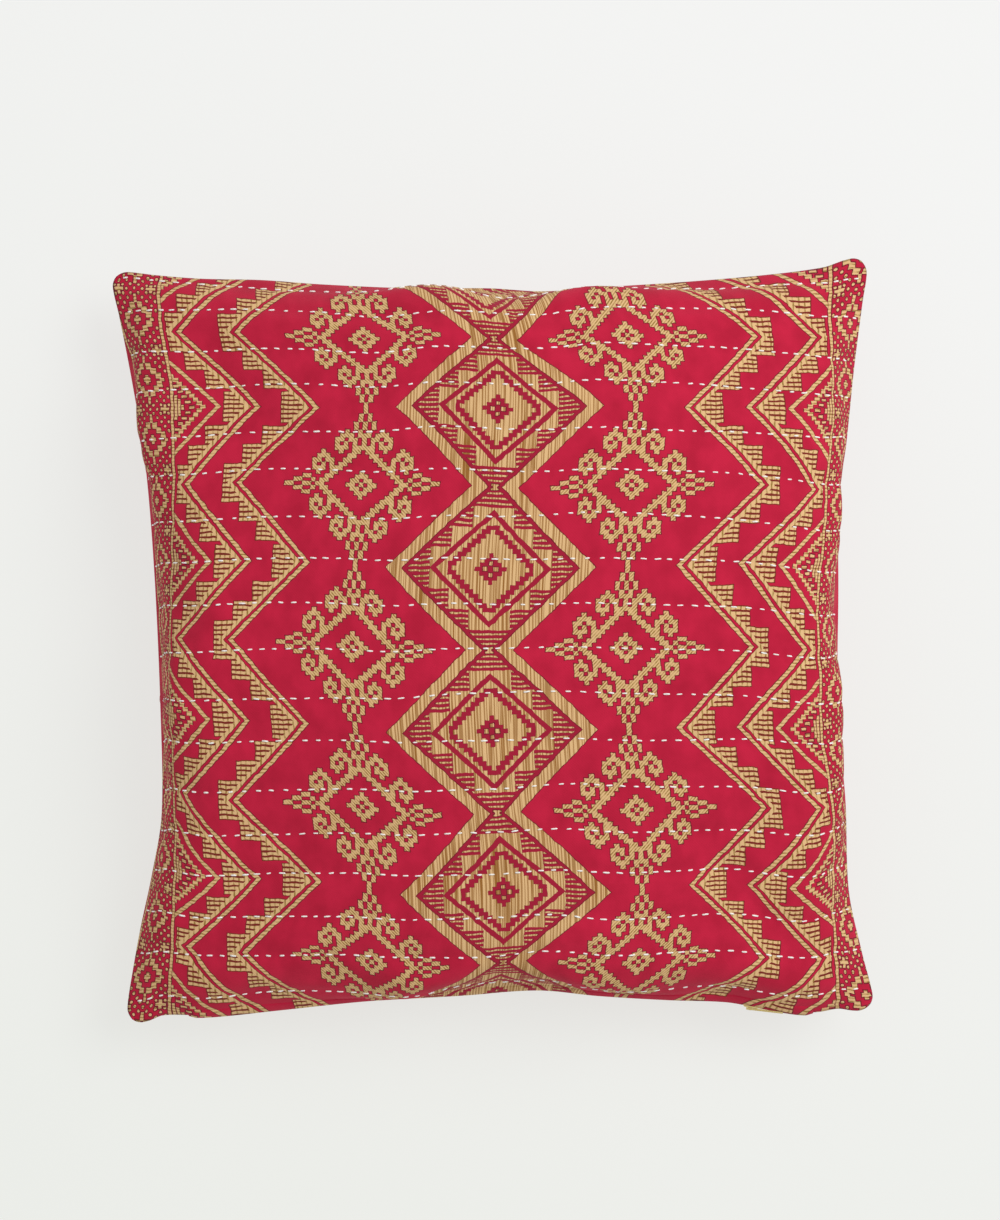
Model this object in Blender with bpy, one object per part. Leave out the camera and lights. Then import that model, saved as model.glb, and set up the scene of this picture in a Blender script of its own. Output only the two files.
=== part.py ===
# A square kantha throw pillow, filled and lying on its back, with the slider
# and the pull of its zip showing at the lower seam.
# Metres, +Z up. +X is the pillow's right and +Y its top, seen from above.
# The origin is on the surface, below the middle of the pillow's outline.

import math

import bmesh
import bpy
from mathutils import Matrix, Vector

# Driving sizes of the flat cover and of the filled pillow
COVER_SIDE = 0.457
SEAM_HEIGHT = 0.056
CORNER_DROOP = 0.008
FRONT_CROWN = 0.064
BACK_CROWN = 0.064

# How the crown falls away: a higher edge power keeps the middle flatter, a
# lower wall power makes the cloth stand steeper at the seam, and the filling
# is thinner towards the corners
EDGE_POWER = 2.75
WALL_POWER = 0.42
CORNER_THINNING = 0.45

# Where the four corner tips lie, x and y, and how round they are
CORNERS = {
    "top_left": (-0.2228, 0.2143),
    "top_right": (0.2182, 0.2214),
    "bottom_left": (-0.2128, -0.2214),
    "bottom_right": (0.2229, -0.2126),
}
CORNER_TIP_RADIUS = 0.0045

# How far each side draws in from the line between its corner tips.
# A row is: share of the way along the side, distance drawn in.
# Left and right run from top to bottom, top and bottom from left to right.
# The lower side bulges near its right end, where the zip's lap ends.
DRAWN_IN = {
    "left": ((0.00, 0.0), (0.06, 0.0029), (0.15, 0.0091), (0.25, 0.0151), (0.40, 0.0198),
             (0.58, 0.0216), (0.72, 0.0208), (0.80, 0.0155), (0.87, 0.0080), (0.94, 0.0018), (1.00, 0.0)),
    "right": ((0.00, 0.0), (0.06, 0.0026), (0.15, 0.0072), (0.25, 0.0123), (0.32, 0.0158),
              (0.45, 0.0174), (0.60, 0.0173), (0.72, 0.0152), (0.84, 0.0133), (0.92, 0.0065), (1.00, 0.0)),
    "top": ((0.00, 0.0), (0.06, 0.0004), (0.12, 0.0022), (0.20, 0.0046), (0.28, 0.0074),
            (0.40, 0.0092), (0.50, 0.0108), (0.57, 0.0131), (0.65, 0.0107), (0.75, 0.0092),
            (0.86, 0.0062), (0.94, 0.0020), (1.00, 0.0)),
    "bottom": ((0.00, 0.0), (0.05, 0.0016), (0.11, -0.0003), (0.20, 0.0029), (0.32, 0.0068),
               (0.45, 0.0096), (0.55, 0.0114), (0.63, 0.0072), (0.72, 0.0045), (0.80, 0.0024),
               (0.85, -0.0018), (0.90, -0.0046), (0.95, -0.0022), (1.00, 0.0)),
}

# Kantha rows: the cover is quilted with level rows of running stitch
ROW_PITCH = 0.0254
ROW_AT_CENTRE = -0.010
ROWS_ABOVE = 9
ROWS_BELOW = 8
CHANNEL_HALF_WIDTH = 0.0045
CHANNEL_DEPTH = 0.0016

# Steepness of the cloth near the seam, seen from above, for placing rows
LAY_STRETCH = 1.16
LAY_POWER = 5

# Fineness of the solid
COLUMNS = 28
LAST_ROW = 0.995
LEAST_ROW_STEP = 0.003

# Zip slider and pull, in brass, on the lower seam
ZIP_SHARE = 0.838
ZIP_BELOW_SEAM = 0.003
CLEARANCE = 0.0003
SLIDER_LENGTH = 0.0085
SLIDER_HEIGHT = 0.0064
SLIDER_NOSE = 0.0046
SLIDER_DEPTH = 0.0013
SLIDER_EDGE = 0.0004
LUG_LENGTH = 0.0014
LUG_HEIGHT = 0.0014
LUG_STAND = 0.0018
PULL_LENGTH = 0.0215
PULL_ROOT_HEIGHT = 0.0046
PULL_TIP_HEIGHT = 0.0056
PULL_THICKNESS = 0.0011
PULL_GAP = 0.0004
PULL_SWING = math.radians(2.0)
EYE_LENGTH = 0.0024
EYE_HEIGHT = 0.0022
EYE_RIM = 0.0012


def clear_scene():
    for thing in list(bpy.data.objects):
        bpy.data.objects.remove(thing, do_unlink=True)


def make_material(name, colour, roughness, metallic=0.0):
    material = bpy.data.materials.new(name)
    material.use_nodes = True
    shader = material.node_tree.nodes["Principled BSDF"]
    shader.inputs["Base Color"].default_value = (*colour, 1.0)
    shader.inputs["Roughness"].default_value = roughness
    shader.inputs["Metallic"].default_value = metallic
    return material


def make_object(name, mesh_data, material, smooth_below):
    bmesh.ops.recalc_face_normals(mesh_data, faces=mesh_data.faces[:])
    mesh = bpy.data.meshes.new(name)
    mesh_data.to_mesh(mesh)
    mesh_data.free()
    mesh.materials.append(material)
    mesh.shade_smooth()
    mesh.set_sharp_from_angle(angle=smooth_below)
    thing = bpy.data.objects.new(name, mesh)
    bpy.context.scene.collection.objects.link(thing)
    return thing


# Outline of the pillow, seen from above

def read_table(rows, share):
    """Smooth curve through the rows of a table, flat-ended at each turn."""
    last = len(rows) - 1
    slopes = []
    for i in range(last + 1):
        before, after = rows[max(i - 1, 0)], rows[min(i + 1, last)]
        slopes.append((after[1] - before[1]) / (after[0] - before[0]))
    for i in range(last):
        start, end = rows[i], rows[i + 1]
        if share <= end[0] or i == last - 1:
            width = end[0] - start[0]
            t = min(max((share - start[0]) / width, 0.0), 1.0)
            return ((1 + 2 * t) * (1 - t) ** 2 * start[1] + t * t * (3 - 2 * t) * end[1]
                    + t * (1 - t) ** 2 * width * slopes[i] - t * t * (1 - t) * width * slopes[i + 1])


def side_point(side, share):
    """Point on a side's seam: the line between its tips, drawn in."""
    first, second = {
        "left": ("top_left", "bottom_left"),
        "right": ("top_right", "bottom_right"),
        "top": ("top_left", "top_right"),
        "bottom": ("bottom_left", "bottom_right"),
    }[side]
    start, end = Vector(CORNERS[first]), Vector(CORNERS[second])
    along = (end - start).normalized()
    inward = Vector((-along.y, along.x))
    if inward.dot(-(start + end) / 2) < 0:
        inward = -inward
    return start.lerp(end, share) + inward * read_table(DRAWN_IN[side], share)


def plan_point(u, v):
    """Place seen from above of the cloth at (u, v), each from -1 to 1."""
    across, down = (u + 1) / 2, (1 - v) / 2
    corners = {name: Vector(place) for name, place in CORNERS.items()}
    between_sides = (side_point("top", across) * (1 - down) + side_point("bottom", across) * down
                     + side_point("left", down) * (1 - across) + side_point("right", down) * across)
    between_tips = ((corners["top_left"] * (1 - across) + corners["top_right"] * across) * (1 - down)
                    + (corners["bottom_left"] * (1 - across) + corners["bottom_right"] * across) * down)
    return between_sides - between_tips


# Height of the cloth

def crown_share(u, v):
    """Share of the crown's height: 1 in the middle, 0 along the seam."""
    fall = (1 - abs(u) ** EDGE_POWER) * (1 - abs(v) ** EDGE_POWER)
    return max(fall, 0.0) ** WALL_POWER * (1 - CORNER_THINNING * (u * v) ** 2)


def seam_height(u, v):
    """Height of the seam's plane, which droops towards the corner tips."""
    return SEAM_HEIGHT - CORNER_DROOP * abs(u * v) ** 3


def lay(share):
    """Share of the cloth's half width turned into its share seen from above."""
    return share * (LAY_STRETCH - (LAY_STRETCH - 1) * abs(share) ** LAY_POWER)


def mesh_columns():
    return [math.sin(math.pi / 2 * (2 * i / COLUMNS - 1)) for i in range(COLUMNS + 1)]


def mesh_rows():
    """Rows of the solid: (v, is it the bottom of a sewn channel)."""
    half = COVER_SIDE / 2
    rows = [(-1.0, False), (-LAST_ROW, False), (LAST_ROW, False), (1.0, False)]
    for k in range(-ROWS_BELOW, ROWS_ABOVE + 1):
        centre = ROW_AT_CENTRE + k * ROW_PITCH
        for offset in (-CHANNEL_HALF_WIDTH, 0.0, CHANNEL_HALF_WIDTH):
            v = lay((centre + offset) / half)
            if min(abs(v - row[0]) for row in rows) > LEAST_ROW_STEP:
                rows.append((v, offset == 0.0))
    return sorted(rows)


def round_corner_tip(place, u, v):
    """A corner's own point moves in, which rounds the tip."""
    if abs(u) == 1 and abs(v) == 1:
        inward = Vector((-u, -v)).normalized()
        return place + inward * CORNER_TIP_RADIUS * (math.sqrt(2) - 1)
    return place


def make_pillow(material):
    """Two panels of cloth joined at their rims: one closed, filled solid."""
    columns, rows = mesh_columns(), mesh_rows()
    solid = bmesh.new()
    for side in (1, -1):
        panel = bmesh.ops.create_grid(solid, x_segments=len(columns) - 1, y_segments=len(rows) - 1, size=1.0)
        for vert in panel["verts"]:
            u = columns[round((vert.co.x + 1) / 2 * (len(columns) - 1))]
            v, in_channel = rows[round((vert.co.y + 1) / 2 * (len(rows) - 1))]
            place = round_corner_tip(plan_point(u, v), u, v)
            crown = FRONT_CROWN if side > 0 else BACK_CROWN
            sewn_down = CHANNEL_DEPTH / crown if in_channel else 0.0
            height = seam_height(u, v) + side * crown * crown_share(u, v) * (1 - sewn_down)
            vert.co = (place.x, place.y, max(height, 0.0))
    bmesh.ops.remove_doubles(solid, verts=solid.verts[:], dist=0.00001)
    return make_object("pillow", solid, material, math.radians(60))


# The zip's hardware

def rim_height(rim, x):
    """The lower rim's y at x, along the straight edges of the solid."""
    for left, right in zip(rim, rim[1:]):
        if left.x <= x <= right.x:
            return left.lerp(right, (x - left.x) / (right.x - left.x)).y


def zip_frame():
    """Frame of the slider: x along the seam to the right, y outwards, z up.

    Its x axis runs just outside the cloth from the slider to the pull's tip.
    """
    rim = [plan_point(u, -1.0) for u in mesh_columns()]
    seat = side_point("bottom", ZIP_SHARE)
    ends = [seat.x - SLIDER_LENGTH / 2, seat.x + PULL_LENGTH]
    beside = [Vector((x, rim_height(rim, x))) for x in ends]
    along = (beside[1] - beside[0]).normalized()
    outward = Vector((along.y, -along.x))
    between = [point for point in rim if ends[0] < point.x < ends[1]]
    stand = max((point - seat).dot(outward) for point in beside + between)
    origin = seat + outward * (stand + CLEARANCE)
    height = seam_height(2 * ZIP_SHARE - 1, -1.0) - ZIP_BELOW_SEAM
    return Matrix((
        (along.x, outward.x, 0.0, origin.x),
        (along.y, outward.y, 0.0, origin.y),
        (0.0, 0.0, 1.0, height),
        (0.0, 0.0, 0.0, 1.0),
    ))


def push_out(solid, faces, distance):
    """Extrude flat faces along +y."""
    pushed = bmesh.ops.extrude_face_region(solid, geom=faces)
    moved = [item for item in pushed["geom"] if isinstance(item, bmesh.types.BMVert)]
    bmesh.ops.translate(solid, verts=moved, vec=(0.0, distance, 0.0))
    return [item for item in pushed["geom"] if isinstance(item, bmesh.types.BMFace)]


def make_slider(frame, material):
    """Outer plate of the slider, narrower at its nose, with the pull's lug."""
    solid = bmesh.new()
    half, nose, shoulder = SLIDER_HEIGHT / 2, SLIDER_NOSE / 2, SLIDER_LENGTH / 6
    outline = (
        (-SLIDER_LENGTH / 2, -nose), (-shoulder, -half), (SLIDER_LENGTH / 2, -half),
        (SLIDER_LENGTH / 2, half), (-shoulder, half), (-SLIDER_LENGTH / 2, nose),
    )
    back = solid.faces.new([solid.verts.new((x, 0.0, z)) for x, z in outline])
    front = push_out(solid, [back], SLIDER_DEPTH - SLIDER_EDGE)
    bmesh.ops.recalc_face_normals(solid, faces=solid.faces[:])
    bmesh.ops.inset_region(solid, faces=front, thickness=SLIDER_EDGE)
    bmesh.ops.translate(solid, verts=front[0].verts[:], vec=(0.0, SLIDER_EDGE, 0.0))
    bmesh.ops.inset_region(solid, faces=front, thickness=SLIDER_EDGE)
    for vert in front[0].verts:
        side = 1 if vert.co.z > 0 else -1
        vert.co.x *= LUG_LENGTH / SLIDER_LENGTH
        vert.co.z = side * LUG_HEIGHT / 2
    push_out(solid, front, LUG_STAND)
    bmesh.ops.delete(solid, geom=front, context="FACES_ONLY")
    bmesh.ops.transform(solid, matrix=frame, verts=solid.verts[:])
    return make_object("zip_slider", solid, material, math.radians(30))


def make_pull(frame, material):
    """Flat tab with an eye round the lug, wider at its free end."""
    solid = bmesh.new()
    root, tip = PULL_ROOT_HEIGHT / 2, PULL_TIP_HEIGHT / 2
    eye = EYE_LENGTH / 2
    start, neck = -eye - EYE_RIM, eye + EYE_RIM
    places = {
        "root": (start, root), "neck": (neck, root), "tip": (start + PULL_LENGTH, tip),
        "eye_root": (-eye, EYE_HEIGHT / 2), "eye_neck": (eye, EYE_HEIGHT / 2),
    }
    low = {name: solid.verts.new((x, 0.0, -z)) for name, (x, z) in places.items()}
    high = {name: solid.verts.new((x, 0.0, z)) for name, (x, z) in places.items()}
    tab = [
        solid.faces.new((low["root"], low["neck"], low["eye_neck"], low["eye_root"])),
        solid.faces.new((low["neck"], high["neck"], high["eye_neck"], low["eye_neck"])),
        solid.faces.new((high["neck"], high["root"], high["eye_root"], high["eye_neck"])),
        solid.faces.new((high["root"], low["root"], low["eye_root"], high["eye_root"])),
        solid.faces.new((low["neck"], low["tip"], high["tip"], high["neck"])),
    ]
    push_out(solid, tab, PULL_THICKNESS)
    swing = Matrix.Rotation(-PULL_SWING, 4, "Z")
    stand = Matrix.Translation((0.0, SLIDER_DEPTH + PULL_GAP, 0.0))
    bmesh.ops.transform(solid, matrix=frame @ stand @ swing, verts=solid.verts[:])
    return make_object("zip_pull", solid, material, math.radians(30))


def build():
    clear_scene()
    cloth = make_material("quilted cotton", (0.48, 0.018, 0.053), 0.9)
    brass = make_material("brass", (0.72, 0.52, 0.22), 0.35, 1.0)
    make_pillow(cloth)
    frame = zip_frame()
    make_slider(frame, brass)
    make_pull(frame, brass)


build()
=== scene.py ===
import math

import bmesh
import bpy
import numpy as np
from mathutils import Matrix, Vector


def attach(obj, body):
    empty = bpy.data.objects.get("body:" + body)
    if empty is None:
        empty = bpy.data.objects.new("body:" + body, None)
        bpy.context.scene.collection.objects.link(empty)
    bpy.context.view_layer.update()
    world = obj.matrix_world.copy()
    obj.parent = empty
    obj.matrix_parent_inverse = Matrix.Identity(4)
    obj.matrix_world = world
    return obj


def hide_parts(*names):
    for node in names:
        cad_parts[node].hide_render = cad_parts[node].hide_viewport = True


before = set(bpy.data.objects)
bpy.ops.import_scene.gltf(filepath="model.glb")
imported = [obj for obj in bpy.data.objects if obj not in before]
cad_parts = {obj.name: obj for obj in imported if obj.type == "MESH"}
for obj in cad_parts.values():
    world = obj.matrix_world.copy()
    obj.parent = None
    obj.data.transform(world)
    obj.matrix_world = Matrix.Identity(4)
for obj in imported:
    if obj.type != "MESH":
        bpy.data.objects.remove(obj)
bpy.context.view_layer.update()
scene = bpy.context.scene
print("frame loaded:", ", ".join(sorted(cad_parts)))


# Camera, straight above the pillow, which lies on its back

cameraSetup = {
    "imageSize": (1000, 1220),  # pixels
    "metresPerPixel": 0.000588,  # at the height of the seam
    "aboveSeam": 1.894,
    "pillowMiddle": (492.5, 640),  # pixel over the frame's origin
    "sensor": 36,
}


def makeCamera(seamHeight):
    wide, high = cameraSetup["imageSize"]
    scale = cameraSetup["metresPerPixel"]
    data = bpy.data.cameras.new("camera")
    data.sensor_width = cameraSetup["sensor"]
    data.lens = cameraSetup["sensor"] * cameraSetup["aboveSeam"] / (high * scale)
    data.clip_start, data.clip_end = 0.01, 50
    camera = bpy.data.objects.new("camera", data)
    camera.location = (
        (wide / 2 - cameraSetup["pillowMiddle"][0]) * scale,
        (cameraSetup["pillowMiddle"][1] - high / 2) * scale,
        cameraSetup["aboveSeam"] + seamHeight,
    )
    scene.collection.objects.link(camera)
    scene.camera = camera


# Helpers for materials

def toLinear(hexColour):
    parts = [int(hexColour[i:i + 2], 16) / 255 for i in (1, 3, 5)]
    return [p / 12.92 if p <= 0.04045 else ((p + 0.055) / 1.055) ** 2.4 for p in parts] + [1.0]


def addNode(tree, kind, settings, links):
    node = tree.nodes.new(kind)
    for name, value in settings.items():
        setattr(node, name, value)
    for name, value in links.items():
        if isinstance(value, bpy.types.NodeSocket):
            tree.links.new(value, node.inputs[name])
        else:
            node.inputs[name].default_value = value
    return node


def addMath(tree, operation, inputs):
    links = dict(enumerate(inputs))
    return addNode(tree, "ShaderNodeMath", {"operation": operation}, links).outputs[0]


def addSteps(tree, values, steps):
    # Each line makes one value: its name, a Math operation, and its inputs, which are earlier
    # values or numbers. OFF is how far apart two values are. MINIMUM and MAXIMUM take two or more.
    for line in steps.splitlines():
        if not line.strip() or line.strip().startswith("#"):
            continue
        name, operation, *inputs = line.split()
        inputs = [values[word] if word in values else float(word) for word in inputs]
        kind = "SUBTRACT" if operation == "OFF" else operation
        takes = 3 if operation == "MULTIPLY_ADD" else 2
        value = addMath(tree, kind, inputs[:takes])
        for more in inputs[takes:]:
            value = addMath(tree, kind, (value, more))
        if operation == "OFF":
            value = addMath(tree, "ABSOLUTE", (value,))
        values[name] = value


def mixColours(tree, factor, first, second):
    # each colour is in hex, or the result of an earlier mix
    links = {"Factor": factor}
    for name, colour in (("A", first), ("B", second)):
        links[name] = toLinear(colour) if isinstance(colour, str) else colour
    return addNode(tree, "ShaderNodeMix", {"data_type": "RGBA"}, links).outputs["Result"]


def newMaterial(name, surface):
    material = bpy.data.materials.new(name)
    material.use_nodes = True
    tree = material.node_tree
    tree.nodes.clear()
    shader = addNode(tree, "ShaderNodeBsdfPrincipled", {}, surface)
    addNode(tree, "ShaderNodeOutputMaterial", {}, {"Surface": shader.outputs[0]})
    return material, tree, shader


# Printed cotton. Woven cotton, block printed, then quilted: matte, faintly napped, its gold hatched
# with fine strokes and edged in dark red. The UV map "cloth" holds the print's own places: 0.5 at
# the middle and 1/200 for each cell of 2.39 by 2.33 mm. The back panel lies 2 further across, and
# is plain.

printLayout = {
    "cell": (0.00239, 0.002334),  # across and up the cloth, metres
    "waistAt": -0.013,  # a waist of the middle band, metres above the cloth's middle
    "mapCells": 200,
    "wobble": 0.3,  # cells, how unsteady the hand-cut blocks' edges are
    "wobbleTurns": 0.55,  # in each cell
    # how far the print was drawn askew, mm, from left to right and in each line from bottom to top
    "askewAcross": [
        [-15.2, -7.1, -3.2, -13.9, 6.3, -2.0, -6.3, 10.8, 14.9, -9.4, -8.8],
        [1.9, 1.6, -5.1, -12.0, 4.4, -1.3, -0.1, 2.6, 10.8, 2.1, -0.2],
        [2.6, 4.1, 2.3, -8.5, -5.4, -7.6, -6.6, 0.9, 12.8, 2.4, -5.5],
        [-2.3, 4.4, 2.3, -11.8, -3.3, -6.2, -3.3, -0.0, 7.8, -4.8, -13.5],
        [-4.4, 10.4, 9.8, -4.1, -6.2, -6.8, -3.7, 0.0, 10.3, -0.5, -14.3],
        [-3.6, 7.9, 9.6, -3.0, -10.9, -8.9, -1.0, 5.6, 11.4, 1.3, -5.3],
        [19.7, 15.2, 20.6, -1.9, -18.7, -12.5, -5.4, 3.4, 17.1, 11.4, 21.5],
    ],
    "askewUp": [
        [9.6, 16.3, 17.6, 15.2, 20.2, 19.5, 18.2, 19.3, 20.4, 22.8, 31.6],
        [3.4, 11.1, 4.3, 10.5, 11.4, 13.7, 13.8, 14.8, 17.9, 17.0, 26.7],
        [4.9, 13.9, 9.1, 7.3, 6.6, 6.3, 8.9, 8.7, 8.8, -2.1, 11.1],
        [6.1, 3.5, -3.8, -2.2, -2.6, -3.4, -4.1, -1.1, -2.5, -13.0, 3.0],
        [3.1, 12.5, 5.5, 7.9, 6.3, 6.2, 5.7, 5.8, 6.7, 0.2, 14.8],
        [-2.7, 8.9, -2.3, 2.7, 4.3, 5.6, 11.9, 13.9, 16.9, 10.4, 26.4],
        [-9.6, -0.4, 7.5, 8.7, 10.4, 9.1, 11.8, 10.7, 13.9, 13.6, 23.9],
    ],
    "goldLight": "#DFB783",
    "goldStroke": "#98773A",
    "goldBrown": "#98662F",
    "outline": "#741A2A",
    "toothGap": "#7C2B22",
    "columnRed": "#A31D37",
    "groundDark": "#B31937",
    "groundLight": "#C51F40",
}

# Quarter of a medallion, from its middle outwards and upwards, one line a row of cells. Its columns
# are a little wider than the other cells.
medallionChart = [
    "x.xx.....xx.xx..xx",
    ".xx.....xx.x..xx..",
    "xx.....xx...xx....",
    "x.....xx..x.......",
    ".....xxx.xxx......",
    "....xx.x.x.x......",
    "...xx..xx.xx......",
    "..xx....xxx.......",
    ".xx..x...x........",
    "xxx.xxx...........",
    "x.x.x.x...........",
    "x.xx.xx...........",
    "xx.xxx............",
    ".x..x.............",
    "x.x...............",
    "x.x...............",
    ".x................",
    ".x................",
    "x.................",
    "x.................",
]

# The print in steps. Lengths are in cells, and a shape is the part where its value is above 0. All
# of it is the same to both sides of the middle, and mirrored at each waist and each diamond.
layoutSteps = """
across      ABSOLUTE      x
row         PINGPONG      y 19
toDiamond   SUBTRACT      19 row
backSide    GREATER_THAN  u 1.5
frontSide   MULTIPLY_ADD  backSide -4 2
"""

columnSteps = """
# gold band that narrows to a waist and widens round each diamond
innerEdge   MULTIPLY_ADD  row 1.02 1.72
outerEdge   MULTIPLY_ADD  row 1.017 5.42
bandOut     SUBTRACT      outerEdge across
bandIn      SUBTRACT      across innerEdge
bandFlat    MINIMUM       bandOut bandIn
band        MULTIPLY      bandFlat 0.8
fromBand    MULTIPLY      bandIn -1
inside      SUBTRACT      fromBand 0.7
# line diamond, stepped diamond and flower, red in the gold
rim         MULTIPLY_ADD  across 0.96 toDiamond
rimDist     OFF           rim 12.95
rimRed      SUBTRACT      0.82 rimDist
stepX       MULTIPLY_ADD  across 0.94 0.5
stepY       MULTIPLY_ADD  toDiamond 0.94 0.5
stairX      FLOOR         stepX
stairY      FLOOR         stepY
stair       ADD           stairX stairY
partX       FRACT         stepX
partY       FRACT         stepY
fromLow     MINIMUM       partX partY
partHigh    MAXIMUM       partX partY
fromHigh    SUBTRACT      1 partHigh
outerStair  GREATER_THAN  stair 9.5
highLess    SUBTRACT      fromHigh fromLow
ringThick   MULTIPLY_ADD  outerStair highLess fromLow
stairDist   OFF           stair 9.5
ringIn      SUBTRACT      0.9 stairDist
stepMost    MAXIMUM       stepX stepY
ringCut     SUBTRACT      10 stepMost
ringRed     MINIMUM       ringIn ringCut ringThick
flowerIn    SUBTRACT      3.7 stair
flowerFar   SUBTRACT      2.5 stair
flowerEdge  MAXIMUM       fromHigh flowerFar
flowerRed   MINIMUM       flowerIn flowerEdge
dotAcross   OFF           across 1.28
dotAFar     MAXIMUM       dotAcross toDiamond
dotA        SUBTRACT      0.5 dotAFar
dotUp       OFF           toDiamond 1.4
dotBFar     MAXIMUM       dotUp across
dotB        SUBTRACT      0.4 dotBFar
# red blocks that step along the band, with thin gold stripes
blockRow    DIVIDE        row 4.75
block       FLOOR         blockRow
blockSide   MULTIPLY      block 4.75
isOuter     GREATER_THAN  block 0.5
combShift   MULTIPLY_ADD  isOuter 3 -3
combSide    ADD           blockSide combShift
combRed     SUBTRACT      across combSide
stripeRow   DIVIDE        row 1.1875
stripePart  FRACT         stripeRow
lastBlock   GREATER_THAN  block 2.5
stripeMid   MULTIPLY_ADD  lastBlock 0.28 0.22
stripeDist  OFF           stripePart stripeMid
stripeFlat  SUBTRACT      0.17 stripeDist
stripeThin  MULTIPLY      stripeFlat 3
stripeFrom  MULTIPLY_ADD  isOuter -0.1 combRed
stripeTo    SUBTRACT      fromBand 1.45
stripe      MINIMUM       stripeThin stripeFrom stripeTo
# in the last block the zigzags' combs keep to 3.95 cells round the diamond's middle line
cutLess     SUBTRACT      -46.05 toDiamond
blockCut    MULTIPLY_ADD  lastBlock cutLess 50
# small I at the waist
serif       SUBTRACT      row 0.3
serifWide   SUBTRACT      0.85 across
serifIn     MINIMUM       serif serifWide
stem        SUBTRACT      0.4 across
waistMark   MAXIMUM       serifIn stem
waistTall   SUBTRACT      0.66 row
waist       MINIMUM       waistMark waistTall
# together
red         MAXIMUM       rimRed ringRed flowerRed combRed
goldField   MULTIPLY      red -3
innerGold   MINIMUM       inside goldField
column      MAXIMUM       innerGold stripe dotA dotB waist band
"""

# A zigzag line and its comb, which steps on the side away from the middle. In the last block a
# tooth lies on the middle of the zigzag's peak.
zigzagSteps = """
{n}At       MULTIPLY_ADD  row -{slope} {valley}
{n}Off      SUBTRACT      across {n}At
{n}Dist     ABSOLUTE      {n}Off
{n}LineOff  SUBTRACT      0.6 {n}Dist
{n}Line     MULTIPLY      {n}LineOff 0.8
{n}From     SUBTRACT      {n}Off 1.8
{n}Spine    SUBTRACT      3.0 {n}Off
{n}EndAt    MULTIPLY_ADD  blockSide -{slope} {blockEnd}
{n}EndFar   SUBTRACT      {n}EndAt across
{n}Stop     SUBTRACT      {stop} across
{n}Phase    MULTIPLY_ADD  lastBlock 0.5 stripeRow
{n}Part     FRACT         {n}Phase
{n}Off2     OFF           {n}Part 0.5
{n}Thick    SUBTRACT      0.29 {n}Off2
{n}Thick2   MULTIPLY      {n}Thick 1.19
{n}Block    MINIMUM       {n}EndFar {n}Stop blockCut
{n}Teeth    MINIMUM       {n}Block {n}Thick2
{n}Body     MAXIMUM       {n}Spine {n}Teeth
{n}Comb     MINIMUM       {n}From {n}Body
{n}GapBody  MAXIMUM       {n}Spine {n}Block
{n}Gap      MINIMUM       {n}From {n}GapBody
{n}Zigzag   MAXIMUM       {n}Line {n}Comb
"""

# Vertical line, and the nested half diamonds that stand against it between the zigzags
sideSteps = """
toLine      SUBTRACT      80.5 across
chevronAt   MULTIPLY_ADD  toDiamond 0.96 toLine
chevronOff  OFF           chevronAt 11.5
chevronFlat SUBTRACT      0.62 chevronOff
chevronIn   SUBTRACT      toLine 0.4
chevron     MINIMUM       chevronFlat chevronIn
stairRow    ROUND         toDiamond
stepAt      MULTIPLY_ADD  stairRow 0.93 toLine
stepOff     OFF           stepAt 7.7
stepFlat    SUBTRACT      0.64 stepOff
stepTall    SUBTRACT      8.6 toDiamond
stepLine    MINIMUM       stepFlat stepTall chevronIn
dashRow     DIVIDE        toDiamond 1.38
dashK       ROUND         dashRow
dashAt      MULTIPLY_ADD  dashK 0.95 toLine
dashOff     OFF           dashAt 4.9
dashLong    SUBTRACT      0.62 dashOff
dashUp      OFF           dashRow dashK
dashTall    SUBTRACT      0.21 dashUp
dash        MINIMUM       dashLong dashTall chevronIn
barA        OFF           toLine 0.9
barAWide    SUBTRACT      0.32 barA
barATall    SUBTRACT      3.2 toDiamond
barAIn      MINIMUM       barAWide barATall
barB        OFF           toLine 1.75
barBWide    SUBTRACT      0.3 barB
barBTall    SUBTRACT      2.2 toDiamond
barBIn      MINIMUM       barBWide barBTall
barC        OFF           toLine 2.6
barCWide    SUBTRACT      0.32 barC
barCTall    SUBTRACT      0.6 toDiamond
barCIn      MINIMUM       barCWide barCTall
side        MAXIMUM       chevron stepLine dash barAIn barBIn barCIn
"""

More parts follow.
